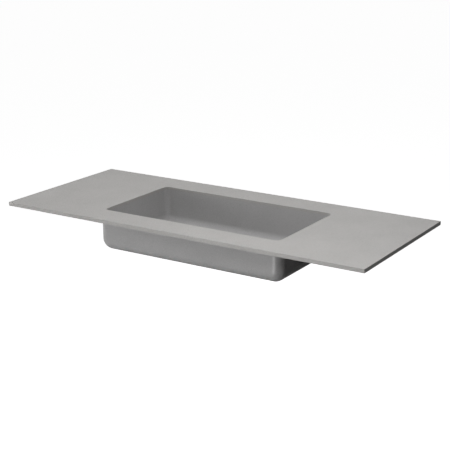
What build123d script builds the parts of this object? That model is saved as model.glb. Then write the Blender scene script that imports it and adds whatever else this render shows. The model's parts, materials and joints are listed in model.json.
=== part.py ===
import math
import os

from build123d import *

# Wide vanity washbasin: a thin stone-composite sheet with one rectangular bowl bonded under it, and a
# press-to-open drain in the bowl's floor. Sizes are in millimetres.
# Frame: the origin is the middle of the sheet's back edge, on the seat plane, which is the sheet's underside.
# X runs to the right along the wall, Y runs back into the wall and Z runs up.

# Sheet
sheet_width = 1200.0
sheet_depth = 510.0
sheet_thickness = 11.5
sheet_corner_radius = 1.5
sheet_arris = 0.5

# Opening in the sheet, which is also the inside of the bowl
side_margin = 300.0
front_margin = 92.0
back_margin = 96.0
opening_corner_radius = 17.0
opening_arris = 0.8

# Bowl
side_wall = 13.0
front_wall = 12.5
overall_depth = 125.0
bottom_thickness = 13.0
tub_corner_radius = 28.0
tub_bottom_radius = 34.0
floor_corner_radius = 21.0
floor_border = 6.0
floor_fall = 3.0

# Bonding flange round the bowl, seated in a rebate of the sheet
flange_overhang = 30.0
flange_thickness = 8.0
flange_root_radius = 5.0
flange_edge_radius = 1.5
rebate_depth = 2.0
rebate_clearance = 0.5

# Adhesive bead in a groove of the flange
bead_inset = 10.0
bead_width = 8.0
bead_height = 1.5

# Flange screws, their washers and the inserts in the sheet
long_side_screws = 4
short_side_screws = 2
end_screw_inset = 90.0
screw_radius = 2.5
screw_tip_gap = 1.0
screw_hole_clearance = 0.75
screw_head_overhang = 2.25
screw_head_height = 2.8
screw_head_rounding = 1.2
screw_socket_radius = 1.7
screw_socket_depth = 1.6
screw_socket_sides = 6
washer_width = 4.75
washer_thickness = 1.2
washer_hole_clearance = 0.25
insert_wall = 1.05
insert_cover = 2.3
insert_thread_clearance = 0.05
insert_hole_clearance = 0.05
insert_hole_relief = 0.4
insert_groove_depth = 0.3
insert_groove_width = 0.8

# Waste body: flange, threaded tail and spider
waste_flange_radius = 33.0
waste_flange_thickness = 2.5
waste_flange_rounding = 0.8
waste_mouth_flare = 4.0
tail_crest_radius = 20.95
tail_wall = 2.45
tail_thread_depth = 1.0
tail_thread_pitch = 2.309
tail_thread_crest = 0.7
tail_neck_relief = 0.75
tail_throat_length = 5.5
spider_arm_count = 4
spider_arm_width = 4.0
spider_height = 7.0
hub_wall = 4.0

# Recess and hole for the waste in the bowl's floor
recess_clearance = 3.0
recess_border = 6.0
recess_edge_radius = 1.0
waste_hole_clearance = 2.05

# Seals, slip washer and nut round the tail
seal_clearance = 0.05
flange_seal_thickness = 1.5
flange_seal_inset = 1.5
seal_lip_height = 3.0
seal_lip_clearance = 0.1
seal_lip_taper = 0.9
clamp_width = 8.0
lower_seal_thickness = 3.0
lower_seal_rounding = 0.6
slip_washer_thickness = 1.5
slip_washer_clearance = 0.15
nut_thread_clearance = 0.1
nut_wall = 6.75
nut_height = 10.0
nut_chamfer = 2.0
nut_sides = 6

# Plug
plug_travel = 9.0
plug_gap = 2.0
plug_inset = 2.5
plug_edge_thickness = 3.0
plug_crown = 1.5
plug_edge_rounding = 1.0
plug_seal_inset = 1.1
plug_seal_width = 4.0
plug_seal_groove = 1.0
plug_socket_depth = 2.8
plug_socket_clearance = 0.05

# Cartridge
stem_radius = 4.0
stem_shoulder = 1.0
stem_showing = 7.0
stem_clearance = 0.08
collar_step = 1.4
collar_height = 3.5
collar_clearance = 0.2
collar_stop_gap = 0.3
guide_pin_radius = 2.4
guide_pin_tail = 1.2
cartridge_wall = 2.4
cartridge_floor = 2.0
cartridge_cap_height = 2.0
cartridge_cap_spigot = 3.0
cartridge_spigot_step = 1.0
cartridge_spigot_clearance = 0.05
cartridge_stud_radius = 4.95
cartridge_stud_clearance = 0.05
cartridge_rounding = 0.5
latch_teeth = 8
latch_tooth_width = 1.0
latch_tooth_height = 1.0
latch_tooth_gap = 0.3
latch_ring_height = 3.0
latch_ring_clearance = 0.15
latch_ring_gap = 0.4
spring_length = 10.0
spring_wire_radius = 0.35
spring_turns = 6
spring_end_gap = 0.05

# How near two heights or radii count as one
same_size = 0.01

# Radii of the inserts
insert_bore_radius = screw_radius + insert_thread_clearance
insert_radius = insert_bore_radius + insert_wall

# Radii round the drain's axis
tail_bore_radius = tail_crest_radius - tail_wall
tail_root_radius = tail_crest_radius - tail_thread_depth
neck_radius = tail_crest_radius - tail_neck_relief
waste_mouth_radius = tail_bore_radius + waste_mouth_flare
waste_hole_radius = tail_crest_radius + waste_hole_clearance
recess_radius = waste_flange_radius + recess_clearance
seal_bore_radius = neck_radius + seal_clearance
seal_lip_top_radius = waste_hole_radius - seal_lip_clearance
clamp_radius = waste_hole_radius + clamp_width
slip_washer_bore_radius = tail_crest_radius + slip_washer_clearance
nut_bore_radius = neck_radius + nut_thread_clearance
nut_flat_radius = nut_bore_radius + nut_wall
nut_corner_radius = nut_flat_radius / math.cos(math.pi / nut_sides)
plug_radius = waste_flange_radius - plug_inset
plug_crown_radius = (plug_radius**2 + plug_crown**2) / (2 * plug_crown)
plug_seal_inner_radius = waste_mouth_radius + plug_seal_inset
plug_seal_outer_radius = plug_seal_inner_radius + plug_seal_width
plug_stud_radius = stem_radius - stem_shoulder
plug_socket_radius = plug_stud_radius + plug_socket_clearance
collar_radius = stem_radius + collar_step
cartridge_bore_radius = collar_radius + collar_clearance
cartridge_radius = cartridge_bore_radius + cartridge_wall
cartridge_spigot_radius = cartridge_bore_radius + cartridge_spigot_step
hub_bore_radius = cartridge_stud_radius + cartridge_stud_clearance
hub_radius = hub_bore_radius + hub_wall
latch_bore_radius = guide_pin_radius + latch_ring_clearance
latch_ring_radius = cartridge_bore_radius - latch_ring_gap
spring_mean_radius = (guide_pin_radius + cartridge_bore_radius) / 2

# Heights from the seat plane: sheet and bowl
sheet_top = sheet_thickness
flange_top = rebate_depth
flange_under = flange_top - flange_thickness
tub_bottom = sheet_top - overall_depth
floor_edge = tub_bottom + bottom_thickness
floor_low = floor_edge - floor_fall
recess_depth = flange_seal_thickness + waste_flange_thickness
recess_floor = floor_low - recess_depth

# Heights: flange screws and inserts
insert_length = sheet_top - flange_top - insert_cover - insert_hole_relief
screw_head_under = flange_under - washer_thickness
screw_head_bottom = screw_head_under - screw_head_height
screw_tip = flange_top + insert_length - screw_tip_gap

# Heights: drain, from the waste's flange down to the tail's end
waste_flange_under = recess_floor + flange_seal_thickness
waste_flange_top = waste_flange_under + waste_flange_thickness
slip_washer_top = tub_bottom - lower_seal_thickness
nut_top = slip_washer_top - slip_washer_thickness
nut_bottom = nut_top - nut_height
plug_under = waste_flange_top + plug_gap
plug_socket_top = plug_under + plug_socket_depth
cartridge_cap_top = plug_under - stem_showing
cartridge_top = cartridge_cap_top - cartridge_cap_height
cartridge_bore_top = cartridge_top - cartridge_cap_spigot
collar_top = cartridge_bore_top - plug_travel - collar_stop_gap
collar_under = collar_top - collar_height
latch_ring_top = collar_under - 2 * latch_tooth_height - latch_tooth_gap
latch_ring_under = latch_ring_top - latch_ring_height
guide_pin_end = latch_ring_under - guide_pin_tail
cartridge_bore_end = latch_ring_under - spring_length
hub_top = cartridge_bore_end - cartridge_floor
hub_bottom = hub_top - spider_height
tail_end = hub_bottom - tail_throat_length

# Outlines seen from above, all centred on the opening
opening_width = sheet_width - 2 * side_margin
opening_depth = sheet_depth - front_margin - back_margin
opening_middle_y = -back_margin - opening_depth / 2
tub_width = opening_width + 2 * side_wall
tub_depth = opening_depth + 2 * front_wall
flange_width = tub_width + 2 * flange_overhang
flange_depth = tub_depth + 2 * flange_overhang
flange_corner_radius = tub_corner_radius + flange_overhang
floor_inset = floor_corner_radius + floor_border
drain_flat_width = 2 * (recess_radius + recess_border)
screw_edge_distance = (flange_overhang - flange_root_radius) / 2
screw_row_x = flange_width / 2 - screw_edge_distance
screw_row_y = flange_depth / 2 - screw_edge_distance
long_side_pitch = (flange_width - 2 * end_screw_inset) / (long_side_screws - 1)
short_side_pitch = (flange_depth - 2 * end_screw_inset) / (short_side_screws - 1)

drain_axis = Axis((0, opening_middle_y, 0), (0, 0, 1))


def level(height):
    """Horizontal plane at a height above the seat, centred on the opening."""
    return Plane(origin=(0, opening_middle_y, height))


def drain_section():
    """Upright plane through the drain's axis: local x is the radius and local y is the height."""
    return Plane(origin=(0, opening_middle_y, 0), x_dir=(1, 0, 0), z_dir=(0, -1, 0))


def section(*points):
    """Face in the drain's upright plane, inside a closed outline of radii and heights."""
    with BuildSketch(drain_section()) as outline:
        with BuildLine():
            Polyline(*points, close=True)
        make_face()
    return outline.sketch


def flat_at(part, height):
    """The largest flat face of a part at a height."""
    level_faces = part.faces().filter_by(Plane.XY)
    near_faces = level_faces.filter_by(lambda face: abs(face.center().Z - height) < same_size)
    return near_faces.sort_by(SortBy.AREA)[-1]


def edges_at(part, height):
    """Every edge of a part that lies wholly at one height."""
    return part.edges().filter_by(
        lambda edge: abs(edge.bounding_box().min.Z - height) < same_size
        and abs(edge.bounding_box().max.Z - height) < same_size
    )


def edges_of_radius(part, radius, height):
    """The round edges of one radius at one height."""
    round_edges = edges_at(part, height).filter_by(GeomType.CIRCLE)
    return round_edges.filter_by(lambda edge: abs(edge.radius - radius) < same_size)


def opening_ring(inner_offset, outer_offset):
    """Ring between two outlines that follow the opening at a distance outside it."""
    for offset_out, mode in ((outer_offset, Mode.ADD), (inner_offset, Mode.SUBTRACT)):
        RectangleRounded(
            opening_width + 2 * offset_out,
            opening_depth + 2 * offset_out,
            opening_corner_radius + offset_out,
            mode=mode,
        )


def screw_places():
    """The places of the flange screws: two long rows, and two short ones at the ends."""
    long_rows = GridLocations(long_side_pitch, 2 * screw_row_y, long_side_screws, 2)
    short_rows = GridLocations(2 * screw_row_x, short_side_pitch, 2, short_side_screws)
    return Locations(*long_rows.local_locations, *short_rows.local_locations)


# Sheet, with the opening, the rebate for the flange and the blind holes for the inserts. Its back corners
# and its lower back edge stay square, where it meets the wall.
with BuildPart() as top_slab:
    with BuildSketch(Plane(origin=(0, -sheet_depth / 2, 0))) as sheet_outline:
        Rectangle(sheet_width, sheet_depth)
        fillet(sheet_outline.vertices().group_by(Axis.Y)[0], sheet_corner_radius)
    extrude(amount=sheet_thickness)
    with BuildSketch(level(0)):
        RectangleRounded(opening_width, opening_depth, opening_corner_radius)
    extrude(amount=sheet_thickness, mode=Mode.SUBTRACT)
    fillet(flat_at(top_slab, sheet_top).outer_wire().edges(), sheet_arris)
    underside_edges = flat_at(top_slab, 0).outer_wire().edges()
    fillet(underside_edges.filter_by(lambda edge: edge.center().Y < -same_size), sheet_arris)
    fillet(flat_at(top_slab, sheet_top).inner_wires()[0].edges(), opening_arris)
    with BuildSketch(level(0)):
        RectangleRounded(
            flange_width + 2 * rebate_clearance,
            flange_depth + 2 * rebate_clearance,
            flange_corner_radius + rebate_clearance,
        )
    extrude(amount=rebate_depth, mode=Mode.SUBTRACT)
    with BuildSketch(level(flange_top)):
        with screw_places():
            Circle(insert_radius + insert_hole_clearance)
    extrude(amount=insert_length + insert_hole_relief, mode=Mode.SUBTRACT)

# Bowl: a moulded tub with a flange, an adhesive groove, a floor that falls to the drain, and a drain recess
with BuildPart() as bowl:
    with BuildSketch(level(tub_bottom)):
        RectangleRounded(tub_width, tub_depth, tub_corner_radius)
    extrude(amount=flange_top - tub_bottom)
    fillet(edges_at(bowl, tub_bottom), tub_bottom_radius)
    with BuildSketch(level(flange_under)):
        RectangleRounded(flange_width, flange_depth, flange_corner_radius)
    extrude(amount=flange_thickness)
    fillet(flat_at(bowl, flange_under).inner_wires()[0].edges(), flange_root_radius)
    fillet(flat_at(bowl, flange_under).outer_wire().edges(), flange_edge_radius)
    with BuildSketch(level(floor_edge)):
        RectangleRounded(opening_width, opening_depth, opening_corner_radius)
    extrude(amount=flange_top - floor_edge, mode=Mode.SUBTRACT)
    fillet(flat_at(bowl, floor_edge).outer_wire().edges(), floor_corner_radius)
    with BuildSketch(level(floor_edge)):
        Rectangle(opening_width - 2 * floor_inset, opening_depth - 2 * floor_inset)
    with BuildSketch(level(floor_low)):
        Rectangle(drain_flat_width, drain_flat_width)
    loft(ruled=True, mode=Mode.SUBTRACT)
    with BuildSketch(level(floor_low)):
        Circle(recess_radius)
    extrude(amount=-recess_depth, mode=Mode.SUBTRACT)
    fillet(edges_of_radius(bowl, recess_radius, floor_low), recess_edge_radius)
    with BuildSketch(level(recess_floor)):
        Circle(waste_hole_radius)
    extrude(amount=tub_bottom - recess_floor, mode=Mode.SUBTRACT)
    with BuildSketch(level(flange_top)):
        opening_ring(bead_inset, bead_inset + bead_width)
    extrude(amount=-bead_height, mode=Mode.SUBTRACT)
    with BuildSketch(level(flange_top)):
        with screw_places():
            Circle(screw_radius + screw_hole_clearance)
    extrude(amount=-flange_thickness, mode=Mode.SUBTRACT)

# Adhesive bead that fills the flange's groove
with BuildPart() as bowl_adhesive:
    with BuildSketch(level(flange_top)):
        opening_ring(bead_inset, bead_inset + bead_width)
    extrude(amount=-bead_height)

# Inserts in the sheet, flush with the rebate's floor, each with one ring groove that keys it into its glue
with BuildPart() as threaded_inserts:
    with BuildSketch(level(flange_top)):
        with screw_places():
            Circle(insert_radius)
            Circle(insert_bore_radius, mode=Mode.SUBTRACT)
    extrude(amount=insert_length)
    with BuildSketch(level(flange_top + (insert_length - insert_groove_width) / 2)):
        with screw_places():
            Circle(insert_radius + insert_groove_depth)
            Circle(insert_radius - insert_groove_depth, mode=Mode.SUBTRACT)
    extrude(amount=insert_groove_width, mode=Mode.SUBTRACT)

# Washers under the flange
with BuildPart() as flange_washers:
    washer_bore_radius = screw_radius + washer_hole_clearance
    with BuildSketch(level(flange_under)):
        with screw_places():
            Circle(washer_bore_radius + washer_width)
            Circle(washer_bore_radius, mode=Mode.SUBTRACT)
    extrude(amount=-washer_thickness)

# Screws with rounded heads and hexagon sockets
with BuildPart() as flange_screws:
    with BuildSketch(level(screw_head_under)):
        with screw_places():
            Circle(screw_radius)
    extrude(amount=screw_tip - screw_head_under)
    with BuildSketch(level(screw_head_under)):
        with screw_places():
            Circle(screw_radius + screw_head_overhang)
    extrude(amount=-screw_head_height)
    fillet(edges_at(flange_screws, screw_head_bottom), screw_head_rounding)
    with BuildSketch(level(screw_head_bottom)):
        with screw_places():
            RegularPolygon(screw_socket_radius, side_count=screw_socket_sides)
    extrude(amount=screw_socket_depth, mode=Mode.SUBTRACT)

# Waste body: the tail's thread is drawn as ring grooves below the nut. Behind the nut and the seals the
# tail is plain, at the middle of the thread's depth.
with BuildPart() as waste_body:
    thread_turns = int((nut_bottom - tail_end) / tail_thread_pitch)
    thread_top = tail_end + thread_turns * tail_thread_pitch
    thread_points = []
    for turn in range(thread_turns):
        crest_top = thread_top - turn * tail_thread_pitch
        crest_bottom = crest_top - tail_thread_crest
        root_height = (crest_bottom + crest_top - tail_thread_pitch) / 2
        thread_points.append((tail_crest_radius, crest_top))
        thread_points.append((tail_crest_radius, crest_bottom))
        thread_points.append((tail_root_radius, root_height))
    revolve(
        section(
            (tail_bore_radius, waste_flange_under),
            (waste_mouth_radius, waste_flange_top),
            (waste_flange_radius, waste_flange_top),
            (waste_flange_radius, waste_flange_under),
            (neck_radius, waste_flange_under),
            (neck_radius, thread_top),
            *thread_points,
            (tail_root_radius, tail_end),
            (tail_bore_radius, tail_end),
        ),
        axis=drain_axis,
    )
    flange_rim = edges_of_radius(waste_body, waste_flange_radius, waste_flange_top)
    fillet(flange_rim, waste_flange_rounding)
    with BuildSketch(level(hub_bottom)):
        Circle(hub_radius)
        with PolarLocations(0, spider_arm_count, start_angle=180 / spider_arm_count):
            arm_length = (tail_bore_radius + tail_root_radius) / 2
            Rectangle(arm_length, spider_arm_width, align=(Align.MIN, Align.CENTER))
        Circle(hub_bore_radius, mode=Mode.SUBTRACT)
    extrude(amount=spider_height)

# Seal between the waste's flange and the recess, with a lip that centres the tail in the bowl's hole
with BuildPart() as flange_seal:
    revolve(
        section(
            (seal_bore_radius, waste_flange_under),
            (waste_flange_radius - flange_seal_inset, waste_flange_under),
            (waste_flange_radius - flange_seal_inset, recess_floor),
            (seal_lip_top_radius, recess_floor),
            (seal_lip_top_radius - seal_lip_taper, recess_floor - seal_lip_height),
            (seal_bore_radius, recess_floor - seal_lip_height),
        ),
        axis=drain_axis,
    )

# Seal under the bowl
with BuildPart() as lower_seal:
    with BuildSketch(level(tub_bottom)):
        Circle(clamp_radius)
        Circle(seal_bore_radius, mode=Mode.SUBTRACT)
    extrude(amount=-lower_seal_thickness)
    fillet(edges_of_radius(lower_seal, clamp_radius, slip_washer_top), lower_seal_rounding)

# Slip washer between the lower seal and the nut
with BuildPart() as slip_washer:
    with BuildSketch(level(slip_washer_top)):
        Circle(clamp_radius)
        Circle(slip_washer_bore_radius, mode=Mode.SUBTRACT)
    extrude(amount=-slip_washer_thickness)

# Lock nut: a hexagon whose corners are turned off at both ends
with BuildPart() as lock_nut:
    with BuildSketch(level(nut_bottom)):
        RegularPolygon(nut_flat_radius, side_count=nut_sides, major_radius=False)
        Circle(nut_bore_radius, mode=Mode.SUBTRACT)
    extrude(amount=nut_height)
    revolve(
        section(
            (0, nut_top),
            (nut_flat_radius, nut_top),
            (nut_corner_radius, nut_top - nut_chamfer),
            (nut_corner_radius, nut_bottom + nut_chamfer),
            (nut_flat_radius, nut_bottom),
            (0, nut_bottom),
        ),
        axis=drain_axis,
        mode=Mode.INTERSECT,
    )

# Plug cap: a crowned disc with a seal groove and a socket for the plunger underneath
with BuildPart() as plug_cap:
    rim_top = plug_under + plug_edge_thickness
    with BuildSketch(drain_section()):
        with BuildLine():
            crown_point = (0, rim_top + plug_crown)
            Polyline(crown_point, (0, plug_under), (plug_radius, plug_under), (plug_radius, rim_top))
            RadiusArc((plug_radius, rim_top), crown_point, -plug_crown_radius)
        make_face()
    revolve(axis=drain_axis)
    fillet(edges_of_radius(plug_cap, plug_radius, rim_top), plug_edge_rounding)
    with BuildSketch(level(plug_under)):
        Circle(plug_seal_outer_radius)
        Circle(plug_seal_inner_radius, mode=Mode.SUBTRACT)
    extrude(amount=plug_seal_groove, mode=Mode.SUBTRACT)
    with BuildSketch(level(plug_under)):
        Circle(plug_socket_radius)
    extrude(amount=plug_socket_depth, mode=Mode.SUBTRACT)

# Seal ring that fills the plug's groove and meets the waste's flange when the drain is shut
with BuildPart() as plug_seal:
    with BuildSketch(level(waste_flange_top)):
        Circle(plug_seal_outer_radius)
        Circle(plug_seal_inner_radius, mode=Mode.SUBTRACT)
    extrude(amount=plug_gap + plug_seal_groove)

# Plunger: threaded stud, stem, toothed collar and guide pin
with BuildPart() as plunger:
    revolve(
        section(
            (0, plug_socket_top - plug_socket_clearance),
            (plug_stud_radius, plug_socket_top - plug_socket_clearance),
            (plug_stud_radius, plug_under),
            (stem_radius, plug_under),
            (stem_radius, collar_top),
            (collar_radius, collar_top),
            (collar_radius, collar_under),
            (guide_pin_radius, collar_under),
            (guide_pin_radius, guide_pin_end),
            (0, guide_pin_end),
        ),
        axis=drain_axis,
    )
    with BuildSketch(level(collar_under)):
        with PolarLocations((latch_ring_radius + latch_bore_radius) / 2, latch_teeth):
            Rectangle((latch_ring_radius - latch_bore_radius) / 2, latch_tooth_width)
    extrude(amount=-latch_tooth_height)

# Latch ring on the guide pin, with teeth that face the plunger's
with BuildPart() as latch_ring:
    with BuildSketch(level(latch_ring_under)):
        Circle(latch_ring_radius)
        Circle(latch_bore_radius, mode=Mode.SUBTRACT)
    extrude(amount=latch_ring_height)
    with BuildSketch(level(latch_ring_top)):
        with PolarLocations((latch_ring_radius + latch_bore_radius) / 2, latch_teeth):
            Rectangle((latch_ring_radius - latch_bore_radius) / 2, latch_tooth_width)
    extrude(amount=latch_tooth_height)

# Cartridge housing: a closed tube on a stud that is held in the spider's hub
with BuildPart() as cartridge_housing:
    revolve(
        section(
            (cartridge_spigot_radius, cartridge_top),
            (cartridge_radius, cartridge_top),
            (cartridge_radius, hub_top),
            (cartridge_stud_radius, hub_top),
            (cartridge_stud_radius, hub_bottom),
            (0, hub_bottom),
            (0, cartridge_bore_end),
            (cartridge_bore_radius, cartridge_bore_end),
            (cartridge_bore_radius, cartridge_bore_top),
            (cartridge_spigot_radius, cartridge_bore_top),
        ),
        axis=drain_axis,
    )

# Cartridge nut: closes the housing, guides the stem and stops the collar
with BuildPart() as cartridge_nut:
    stem_hole_radius = stem_radius + stem_clearance
    revolve(
        section(
            (stem_hole_radius, cartridge_bore_top),
            (cartridge_spigot_radius - cartridge_spigot_clearance, cartridge_bore_top),
            (cartridge_spigot_radius - cartridge_spigot_clearance, cartridge_top),
            (cartridge_radius, cartridge_top),
            (cartridge_radius, cartridge_cap_top),
            (stem_hole_radius, cartridge_cap_top),
        ),
        axis=drain_axis,
    )
    fillet(edges_of_radius(cartridge_nut, cartridge_radius, cartridge_cap_top), cartridge_rounding)

# Spring between the housing's floor and the latch ring
with BuildPart() as cartridge_spring:
    spring_end_height = spring_wire_radius + spring_end_gap
    spring_height = spring_length - 2 * spring_end_height
    with BuildLine(level(cartridge_bore_end + spring_end_height)) as spring_path:
        Helix(spring_height / spring_turns, spring_height, spring_mean_radius)
    with BuildSketch(Plane(origin=spring_path.line @ 0, z_dir=spring_path.line % 0)):
        Circle(spring_wire_radius)
    sweep(path=spring_path.line, is_frenet=True)

parts = {
    "top_slab": top_slab,
    "bowl": bowl,
    "bowl_adhesive": bowl_adhesive,
    "threaded_inserts": threaded_inserts,
    "flange_washers": flange_washers,
    "flange_screws": flange_screws,
    "waste_body": waste_body,
    "flange_seal": flange_seal,
    "lower_seal": lower_seal,
    "slip_washer": slip_washer,
    "lock_nut": lock_nut,
    "plug_cap": plug_cap,
    "plug_seal": plug_seal,
    "plunger": plunger,
    "latch_ring": latch_ring,
    "cartridge_housing": cartridge_housing,
    "cartridge_nut": cartridge_nut,
    "cartridge_spring": cartridge_spring,
}

os.makedirs("parts", exist_ok=True)
for part_name, builder in parts.items():
    builder.part.label = part_name
    export_step(builder.part, f"parts/{part_name}.step")
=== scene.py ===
import json
import math

import bpy
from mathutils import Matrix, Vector

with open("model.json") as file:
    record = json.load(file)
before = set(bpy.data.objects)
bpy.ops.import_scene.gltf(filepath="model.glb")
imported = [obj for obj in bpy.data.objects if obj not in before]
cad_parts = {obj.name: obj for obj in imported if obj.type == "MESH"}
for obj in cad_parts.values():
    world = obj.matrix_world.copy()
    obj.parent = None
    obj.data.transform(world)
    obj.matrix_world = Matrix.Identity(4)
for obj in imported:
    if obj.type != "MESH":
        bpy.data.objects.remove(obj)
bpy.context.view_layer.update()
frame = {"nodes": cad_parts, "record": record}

# Lengths are in metres. The frame is the part's own: the origin is the middle of the sheet's back edge at
# its underside, X runs to the right along the wall, Y back into the wall and Z up.

# X and Y of the drain's axis
DRAIN = (0.0, -0.257)

# The floor's height and half its width. Its paint and its glow are what the camera sees, and its dull paint
# is what bounced light meets.
FLOOR_Z = -0.85
FLOOR_HALF = 60.0
FLOOR_PAINT = 0.6
FLOOR_GLOW = 0.97
FLOOR_DULL = 0.12

# The photograph's camera, fitted to the sheet's corners, the opening's corners and the bowl's outline
CAMERA_PLACE = (1.7166, -2.9389, 0.9143)
CAMERA_PITCH = 16.53
CAMERA_YAW = 32.24
CAMERA_LENS = 88.96

# Soft square lamps, all aimed at the middle of the sheet: name, place, side and power in watts. The last two
# light the sides that the photograph hides.
LAMPS = (
    ("overhead", (0.0, -0.3, 2.0), 1.5, 14.2),
    ("overhead_left", (-0.4, -0.1, 2.0), 1.0, 6.3),
    ("left_high", (-1.2, -0.7, 1.8), 1.2, 7.6),
    ("behind", (0.0, 1.65, 1.1), 1.2, 7.8),
    ("near_front", (0.4, -0.85, 0.6), 0.6, 2.8),
    ("front_right", (1.28, -1.54, 0.85), 0.5, 2.6),
    ("right", (2.2, -0.35, 1.2), 0.8, 1.2),
    ("front", (-0.6, -2.0, -0.2), 0.8, 0.9),
    ("front_left", (-1.81, -1.1, 0.0), 0.8, 17.3),
    ("front_low", (0.0, -2.2, -0.5), 0.8, 12.0),
    ("left_low", (-1.8, 0.3, -0.6), 0.8, 5.0),
    ("behind_low", (-0.3, 1.6, -0.6), 0.8, 7.0),
)
# One more lamp in front that only shows in reflections, for the sheen on rounded corners
SHEEN_LAMP = ("sheen", (0.25, -2.15, -0.57), 0.5, 66.0)
LAMP_TARGET = (0.0, -0.255, 0.0)
WORLD_STRENGTH = 0.02
WHITE_STRENGTH = 1.0

# Shares of red, green and blue in the composite's grey
WARM_TINT = (1.022, 1.0, 0.976)
NEUTRAL_TINT = (1.01, 1.0, 1.0)

# Places of a colour mix's sockets: its share, first colour and second colour, and its result
MIX_INPUTS = (0, 6, 7)
MIX_RESULT = 2


def tinted(grey, tint):
    """A grey with a slight tint."""
    return tuple(grey * share for share in tint)


class Shader:
    """A node material with one Principled shader, and short calls to add nodes.

    Scales are features per metre.
    """

    def __init__(self, name):
        self.material = bpy.data.materials.new(name)
        self.material.use_nodes = True
        self.tree = self.material.node_tree
        self.tree.nodes.clear()
        self.output = self.tree.nodes.new("ShaderNodeOutputMaterial")
        self.principled = self.tree.nodes.new("ShaderNodeBsdfPrincipled")
        self.join(self.principled.outputs["BSDF"], self.output.inputs["Surface"])
        self.place = self.tree.nodes.new("ShaderNodeTexCoord").outputs["Object"]

    def join(self, source, target):
        """Link from an output to an input."""
        self.tree.links.new(source, target)

    def set_or_join(self, value, socket):
        """A number or a colour is set on the socket, and a socket is joined to it."""
        if isinstance(value, (int, float)):
            socket.default_value = value
        elif isinstance(value, tuple):
            socket.default_value = (*value, 1.0)
        else:
            self.join(value, socket)

    def noise(self, scale, detail=2.0, roughness=0.5, place=None):
        """Soft noise from 0 to 1."""
        noise = self.tree.nodes.new("ShaderNodeTexNoise")
        noise.inputs["Scale"].default_value = scale
        noise.inputs["Detail"].default_value = detail
        noise.inputs["Roughness"].default_value = roughness
        self.join(place or self.place, noise.inputs["Vector"])
        return noise.outputs["Fac"]

    def drain_radius(self):
        """Distance from the drain's axis, for marks that a lathe leaves."""
        away = self.tree.nodes.new("ShaderNodeVectorMath")
        away.operation = "MULTIPLY_ADD"
        place, flatten, shift = away.inputs[:3]
        flatten.default_value = (1.0, 1.0, 0.0)
        shift.default_value = (-DRAIN[0], -DRAIN[1], 0.0)
        self.join(self.place, place)
        length = self.tree.nodes.new("ShaderNodeVectorMath")
        length.operation = "LENGTH"
        self.join(away.outputs["Vector"], length.inputs[0])
        return length.outputs["Value"]

    def height(self):
        """Height in the part's frame."""
        split = self.tree.nodes.new("ShaderNodeSeparateXYZ")
        self.join(self.place, split.inputs["Vector"])
        return split.outputs["Z"]

    def line_place(self, value):
        """A place that only changes with one number, so that a noise of it makes lines."""
        joined = self.tree.nodes.new("ShaderNodeCombineXYZ")
        self.join(value, joined.inputs["X"])
        return joined.outputs["Vector"]

    def cells(self, scale):
        """One random number for each mineral grain."""
        cells = self.tree.nodes.new("ShaderNodeTexVoronoi")
        cells.inputs["Scale"].default_value = scale
        self.join(self.place, cells.inputs["Vector"])
        split = self.tree.nodes.new("ShaderNodeSeparateColor")
        self.join(cells.outputs["Color"], split.inputs["Color"])
        return split.outputs["Red"]

    def ramp(self, source, *stops):
        """Colour ramp through stops of position and colour."""
        ramp = self.tree.nodes.new("ShaderNodeValToRGB")
        elements = ramp.color_ramp.elements
        while len(elements) < len(stops):
            elements.new(1.0)
        for element, (position, colour) in zip(elements, stops):
            element.position = position
            element.color = (*colour, 1.0)
        self.join(source, ramp.inputs["Fac"])
        return ramp.outputs["Color"]

    def span(self, source, start, end, low, high):
        """The source's range from start to end, carried to low to high."""
        span = self.tree.nodes.new("ShaderNodeMapRange")
        for name, value in (("From Min", start), ("From Max", end), ("To Min", low), ("To Max", high)):
            span.inputs[name].default_value = value
        self.join(source, span.inputs["Value"])
        return span.outputs["Result"]

    def mix(self, share, first, second):
        """Two colours mixed by a share."""
        mix = self.tree.nodes.new("ShaderNodeMix")
        mix.data_type = "RGBA"
        for value, index in zip((share, first, second), MIX_INPUTS):
            self.set_or_join(value, mix.inputs[index])
        return mix.outputs[MIX_RESULT]

    def calc(self, operation, first, second):
        """Sum, product or comparison of two numbers."""
        node = self.tree.nodes.new("ShaderNodeMath")
        node.operation = operation
        for value, socket in zip((first, second), node.inputs):
            self.set_or_join(value, socket)
        return node.outputs["Value"]

    def surface(self, colour=None, roughness=None, **constants):
        """Colour and roughness from textures, and every other value fixed on the shader's own sockets."""
        for name, value in (("Base Color", colour), ("Roughness", roughness)):
            if value is not None:
                self.set_or_join(value, self.principled.inputs[name])
        for name, value in constants.items():
            self.principled.inputs[name.replace("_", " ")].default_value = value

    def bump(self, relief, depth):
        """Relief of the surface, with its whole range this deep."""
        bump = self.tree.nodes.new("ShaderNodeBump")
        bump.inputs["Strength"].default_value = 1.0
        bump.inputs["Distance"].default_value = depth
        self.join(relief, bump.inputs["Height"])
        self.join(bump.outputs["Normal"], self.principled.inputs["Normal"])


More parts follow.
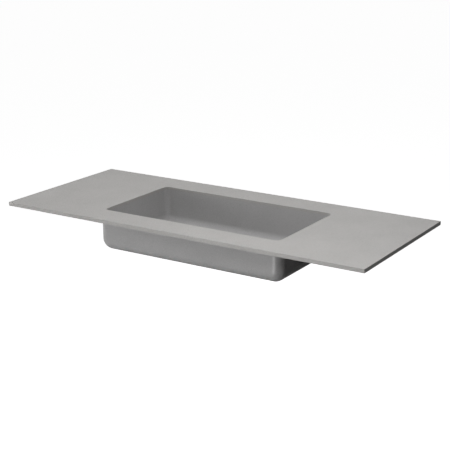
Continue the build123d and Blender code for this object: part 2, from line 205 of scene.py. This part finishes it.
def grey_composite(name, tint, sheen, mica):
    """Matte grey stone composite: 1 mm mineral grain, a few darker and paler flecks, and faint clouds."""
    shader = Shader(name)
    grain = shader.noise(950.0, detail=3.0, roughness=0.6)
    cloud = shader.noise(9.0, detail=3.0)
    tone = shader.calc("ADD", shader.calc("MULTIPLY", grain, 0.8), shader.calc("MULTIPLY", cloud, 0.2))
    ground = shader.ramp(
        tone,
        (0.32, tinted(0.35, tint)),
        (0.50, tinted(0.41, tint)),
        (0.68, tinted(0.47, tint)),
    )
    fleck = shader.cells(800.0)
    dark_fleck = shader.calc("LESS_THAN", fleck, 0.05)
    pale_fleck = shader.calc("GREATER_THAN", fleck, 0.95)
    flecked = shader.mix(shader.calc("MULTIPLY", dark_fleck, 0.35), ground, tinted(0.20, tint))
    flecked = shader.mix(shader.calc("MULTIPLY", pale_fleck, 0.28), flecked, tinted(0.65, tint))
    wear = shader.span(shader.noise(22.0, detail=2.0), 0.3, 0.7, 0.38, 0.44)
    tooth = shader.span(grain, 0.3, 0.7, -0.03, 0.03)
    shader.surface(
        colour=flecked,
        roughness=shader.calc("ADD", wear, tooth),
        Specular_IOR_Level=sheen,
        Metallic=mica,
    )
    shader.bump(shader.noise(1500.0, detail=2.0), 0.00003)
    return shader.material


def chrome():
    """Polished chrome with faint wiping marks."""
    shader = Shader("polished_chrome")
    smear = shader.noise(120.0, detail=3.0)
    shader.surface(
        colour=shader.ramp(smear, (0.3, (0.66, 0.665, 0.675)), (0.7, (0.74, 0.74, 0.75))),
        roughness=shader.span(smear, 0.3, 0.7, 0.05, 0.12),
        Metallic=1.0,
    )
    shader.bump(shader.noise(500.0, detail=1.0), 0.000004)
    return shader.material


def turned_brass():
    """Bare brass with the fine rings of a lathe, and slight tarnish."""
    shader = Shader("turned_brass")
    rings = shader.noise(9000.0, detail=1.0, place=shader.line_place(shader.drain_radius()))
    bands = shader.noise(9000.0, detail=1.0, place=shader.line_place(shader.height()))
    tarnish = shader.noise(180.0, detail=3.0)
    shader.surface(
        colour=shader.ramp(tarnish, (0.3, (0.58, 0.40, 0.17)), (0.7, (0.76, 0.56, 0.26))),
        roughness=shader.span(tarnish, 0.3, 0.7, 0.24, 0.38),
        Metallic=1.0,
    )
    shader.bump(shader.calc("ADD", rings, bands), 0.00001)
    return shader.material


def stainless():
    """Stainless steel fasteners with a fine satin grain."""
    shader = Shader("stainless_steel")
    grain = shader.noise(2500.0, detail=2.0)
    shader.surface(
        colour=shader.ramp(grain, (0.3, (0.50, 0.50, 0.50)), (0.7, (0.62, 0.62, 0.61))),
        roughness=shader.span(grain, 0.3, 0.7, 0.22, 0.36),
        Metallic=1.0,
    )
    shader.bump(grain, 0.000008)
    return shader.material


def black_rubber():
    """Moulded black rubber with a dusty bloom."""
    shader = Shader("black_rubber")
    bloom = shader.noise(260.0, detail=4.0)
    shader.surface(
        colour=shader.ramp(bloom, (0.35, (0.018, 0.018, 0.019)), (0.7, (0.040, 0.040, 0.041))),
        roughness=shader.span(bloom, 0.3, 0.7, 0.62, 0.82),
        Specular_IOR_Level=0.35,
    )
    shader.bump(shader.noise(2200.0, detail=2.0), 0.00002)
    return shader.material


def white_plastic():
    """Natural moulded plastic, slightly waxy, with a fine texture."""
    shader = Shader("white_plastic")
    flow = shader.noise(90.0, detail=2.0)
    shader.surface(
        colour=shader.ramp(flow, (0.3, (0.70, 0.69, 0.65)), (0.7, (0.78, 0.77, 0.74))),
        roughness=shader.span(flow, 0.3, 0.7, 0.36, 0.48),
        Subsurface_Weight=0.1,
        Subsurface_Scale=0.002,
    )
    shader.bump(shader.noise(1800.0, detail=2.0), 0.00001)
    return shader.material


def grey_adhesive():
    """Cured structural adhesive, a shade darker than the composite, with small bubbles."""
    shader = Shader("grey_adhesive")
    bubble = shader.noise(700.0, detail=3.0)
    shader.surface(
        colour=shader.ramp(bubble, (0.3, (0.28, 0.28, 0.27)), (0.7, (0.36, 0.36, 0.35))),
        roughness=shader.span(bubble, 0.3, 0.7, 0.5, 0.7),
    )
    shader.bump(bubble, 0.00008)
    return shader.material


def dress_nodes():
    """Each CAD node gets the finished material of its slot."""
    looks = {
        "sheet_composite": grey_composite("warm_grey_composite", WARM_TINT, sheen=0.03, mica=0.0),
        "bowl_composite": grey_composite("neutral_grey_composite", NEUTRAL_TINT, sheen=0.0, mica=0.02),
        "chrome": chrome(),
        "brass": turned_brass(),
        "stainless": stainless(),
        "black_rubber": black_rubber(),
        "white_plastic": white_plastic(),
        "adhesive": grey_adhesive(),
    }
    for subpart in frame["record"]["subparts"]:
        piece = frame["nodes"][subpart["node"]]
        for slot in piece.material_slots:
            slot.material = looks[subpart["material_slot"]]


def white_to_eyes(tree):
    """1 for camera, mirror and glass rays, and 0 for light that bounces."""
    light_path = tree.nodes.new("ShaderNodeLightPath")
    seen = light_path.outputs["Is Camera Ray"]
    for name in ("Is Glossy Ray", "Is Transmission Ray"):
        either = tree.nodes.new("ShaderNodeMath")
        either.operation = "MAXIMUM"
        tree.links.new(seen, either.inputs[0])
        tree.links.new(light_path.outputs[name], either.inputs[1])
        seen = either.outputs["Value"]
    return seen


def floor_look():
    """White floor that keeps the part's shadow.

    It is dull to bounced light, and it isn't there from below.
    """
    material = bpy.data.materials.new("pale_floor")
    material.use_nodes = True
    tree = material.node_tree
    tree.nodes.clear()
    output = tree.nodes.new("ShaderNodeOutputMaterial")
    paint = tree.nodes.new("ShaderNodeBsdfDiffuse")
    paint.inputs["Color"].default_value = (FLOOR_PAINT, FLOOR_PAINT, FLOOR_PAINT, 1.0)
    glow = tree.nodes.new("ShaderNodeEmission")
    glow.inputs["Strength"].default_value = FLOOR_GLOW
    white = tree.nodes.new("ShaderNodeAddShader")
    tree.links.new(paint.outputs["BSDF"], white.inputs[0])
    tree.links.new(glow.outputs["Emission"], white.inputs[1])
    dull = tree.nodes.new("ShaderNodeBsdfDiffuse")
    dull.inputs["Color"].default_value = (FLOOR_DULL, FLOOR_DULL, FLOOR_DULL, 1.0)
    by_ray = tree.nodes.new("ShaderNodeMixShader")
    tree.links.new(white_to_eyes(tree), by_ray.inputs["Fac"])
    tree.links.new(dull.outputs["BSDF"], by_ray.inputs[1])
    tree.links.new(white.outputs["Shader"], by_ray.inputs[2])
    clear = tree.nodes.new("ShaderNodeBsdfTransparent")
    by_side = tree.nodes.new("ShaderNodeMixShader")
    tree.links.new(tree.nodes.new("ShaderNodeNewGeometry").outputs["Backfacing"], by_side.inputs["Fac"])
    tree.links.new(by_ray.outputs["Shader"], by_side.inputs[1])
    tree.links.new(clear.outputs["BSDF"], by_side.inputs[2])
    tree.links.new(by_side.outputs["Shader"], output.inputs["Surface"])
    return material


def make_floor():
    """Square floor far below the part, for the look only."""
    corners = ((-1, -1), (1, -1), (1, 1), (-1, 1))
    mesh = bpy.data.meshes.new("floor")
    mesh.from_pydata([(x * FLOOR_HALF, y * FLOOR_HALF, FLOOR_Z) for x, y in corners], [], [(0, 1, 2, 3)])
    mesh.materials.append(floor_look())
    floor = bpy.data.objects.new("floor", mesh)
    bpy.context.scene.collection.objects.link(floor)


def make_world():
    """Dim even light, and a white background to the camera."""
    world = bpy.data.worlds.new("studio")
    world.use_nodes = True
    tree = world.node_tree
    tree.nodes.clear()
    output = tree.nodes.new("ShaderNodeOutputWorld")
    dim = tree.nodes.new("ShaderNodeBackground")
    dim.inputs["Strength"].default_value = WORLD_STRENGTH
    white = tree.nodes.new("ShaderNodeBackground")
    white.inputs["Strength"].default_value = WHITE_STRENGTH
    for background in (dim, white):
        background.inputs["Color"].default_value = (1.0, 1.0, 1.0, 1.0)
    by_ray = tree.nodes.new("ShaderNodeMixShader")
    tree.links.new(white_to_eyes(tree), by_ray.inputs["Fac"])
    tree.links.new(dim.outputs["Background"], by_ray.inputs[1])
    tree.links.new(white.outputs["Background"], by_ray.inputs[2])
    tree.links.new(by_ray.outputs["Shader"], output.inputs["Surface"])
    bpy.context.scene.world = world


def make_lamp(name, place, side, power):
    """One square lamp that faces the middle of the sheet."""
    lamp = bpy.data.lights.new(name, "AREA")
    lamp.shape = "SQUARE"
    lamp.size = side
    lamp.energy = power
    holder = bpy.data.objects.new(name, lamp)
    holder.location = place
    holder.rotation_euler = (Vector(place) - Vector(LAMP_TARGET)).to_track_quat("Z", "Y").to_euler()
    bpy.context.scene.collection.objects.link(holder)
    return holder


def make_lamps():
    """Every lamp of the table, and the sheen lamp that diffuse surfaces don't see."""
    for lamp in LAMPS:
        make_lamp(*lamp)
    make_lamp(*SHEEN_LAMP).visible_diffuse = False


def make_camera():
    """Camera of the photograph's view. A pitch of 0 looks level, and a larger one looks down."""
    camera = bpy.data.cameras.new("camera")
    camera.lens = CAMERA_LENS
    holder = bpy.data.objects.new("camera", camera)
    holder.location = CAMERA_PLACE
    holder.rotation_euler = (math.radians(90.0 - CAMERA_PITCH), 0.0, math.radians(CAMERA_YAW))
    bpy.context.scene.collection.objects.link(holder)
    bpy.context.scene.camera = holder


dress_nodes()
make_floor()
make_world()
make_lamps()
make_camera()
bpy.context.scene.view_settings.view_transform = "Standard"
